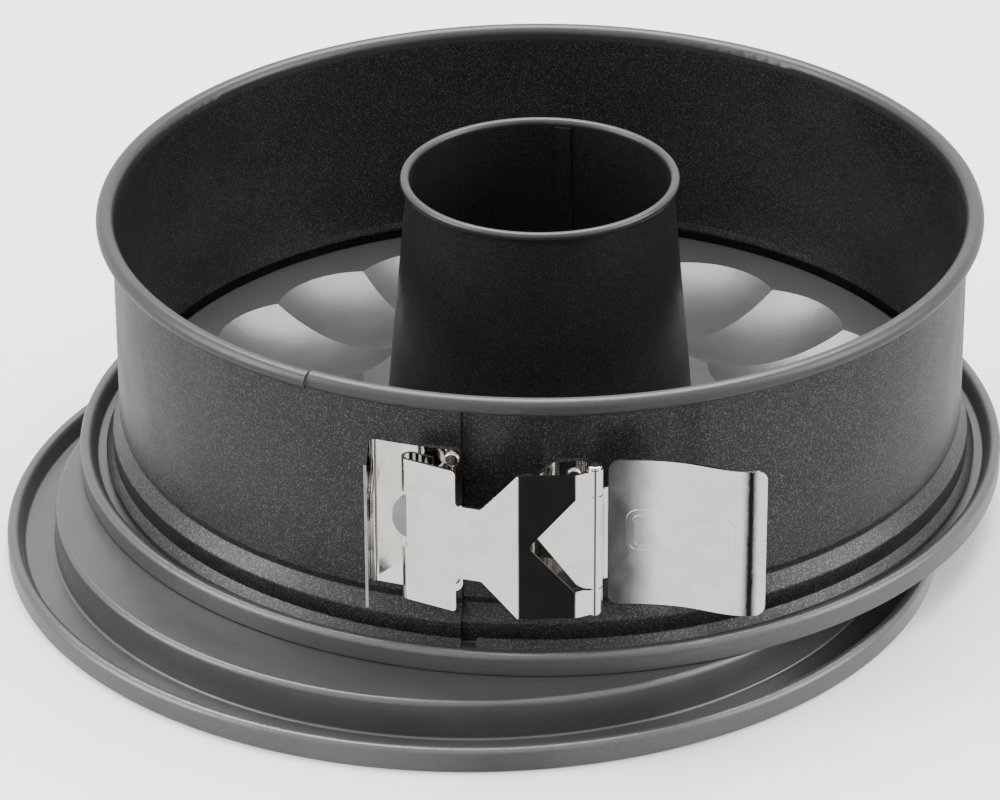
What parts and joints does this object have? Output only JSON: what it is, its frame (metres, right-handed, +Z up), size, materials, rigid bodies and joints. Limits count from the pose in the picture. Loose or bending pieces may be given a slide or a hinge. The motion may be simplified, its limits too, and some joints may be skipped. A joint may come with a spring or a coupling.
{
  "type": "springform pan",
  "caption": "Round springform cake pan: a latched spring-steel ring round a fluted tube base, standing on its spare flat base.",
  "frame": {"origin": "middle of the bounding box on the table, which is midway between the axes of the flat base and the pan", "axes": "+Z up along the pan's axis; the latch is on the -Y side; +X is to the right of someone facing the latch"},
  "size_m": [0.3076, 0.3162, 0.1066],
  "materials": {
    "base_coating": "satin grey non-stick coating on tinplate",
    "tube_coating": "dark satin non-stick coating on tinplate",
    "ring_coating": "anthracite non-stick coating with a fine metallic sparkle",
    "latch_plating": "bright nickel plating on steel sheet",
    "pin_steel": "plated steel wire"
  },
  "bodies": {
    "flat_base": {"flat_base": "base_coating"},
    "pan_base": {"tube_base": "base_coating", "centre_tube": "tube_coating"},
    "ring_outer_end": {"ring_front_left": "ring_coating", "keeper_plate": "latch_plating", "keeper_rivet_1": "pin_steel", "keeper_rivet_2": "pin_steel"},
    "ring_back_left": {"ring_back_left": "ring_coating"},
    "ring_back_right": {"ring_back_right": "ring_coating"},
    "ring_inner_end": {"ring_front_right": "ring_coating", "lever_bracket": "latch_plating", "pivot_pin": "pin_steel", "bracket_rivet_1": "pin_steel", "bracket_rivet_2": "pin_steel", "bracket_rivet_3": "pin_steel", "bracket_rivet_4": "pin_steel"},
    "lever": {"lever": "latch_plating", "link_pin": "pin_steel"},
    "link": {"latch_link": "latch_plating"}
  },
  "joints": [
    {"name": "pan_lift", "type": "slide", "parent": "flat_base", "child": "pan_base", "axis": [0, 0, 1], "range_m": [0, 0.12]},
    {"name": "ring_lift", "type": "slide", "parent": "pan_base", "child": "ring_outer_end", "axis": [0, 0, 1], "range_m": [0, 0.11]},
    {"name": "ring_spring_left", "type": "hinge", "parent": "ring_outer_end", "child": "ring_back_left", "pos_m": [-0.12097, 0.04985, 0.0591], "axis": [0, 0, 1], "range_deg": [0, 1]},
    {"name": "ring_spring_back", "type": "hinge", "parent": "ring_back_left", "child": "ring_back_right", "pos_m": [0.0456, 0.14602, 0.0591], "axis": [0, 0, 1], "range_deg": [0, 1]},
    {"name": "ring_spring_right", "type": "hinge", "parent": "ring_back_right", "child": "ring_inner_end", "pos_m": [0.14177, -0.02055, 0.0591], "axis": [0, 0, 1], "range_deg": [0, 1]},
    {"name": "lever_swing", "type": "hinge", "parent": "ring_inner_end", "child": "lever", "pos_m": [0.0058, -0.12665, 0.0593], "axis": [0, 0, -1], "range_deg": [0, 130]},
    {"name": "link_fold", "type": "hinge", "parent": "lever", "child": "link", "pos_m": [0.0246, -0.12925, 0.0593], "axis": [0, 0, 1], "range_deg": [0, 149.5]}
  ],
  "couplings": [
    {"joint": "ring_spring_left", "follows": "lever_swing", "ratio": 0.00769},
    {"joint": "ring_spring_back", "follows": "lever_swing", "ratio": 0.00769},
    {"joint": "ring_spring_right", "follows": "lever_swing", "ratio": 0.00769},
    {"joint": "link_fold", "follows": "lever_swing", "ratio": 1.15}
  ]
}
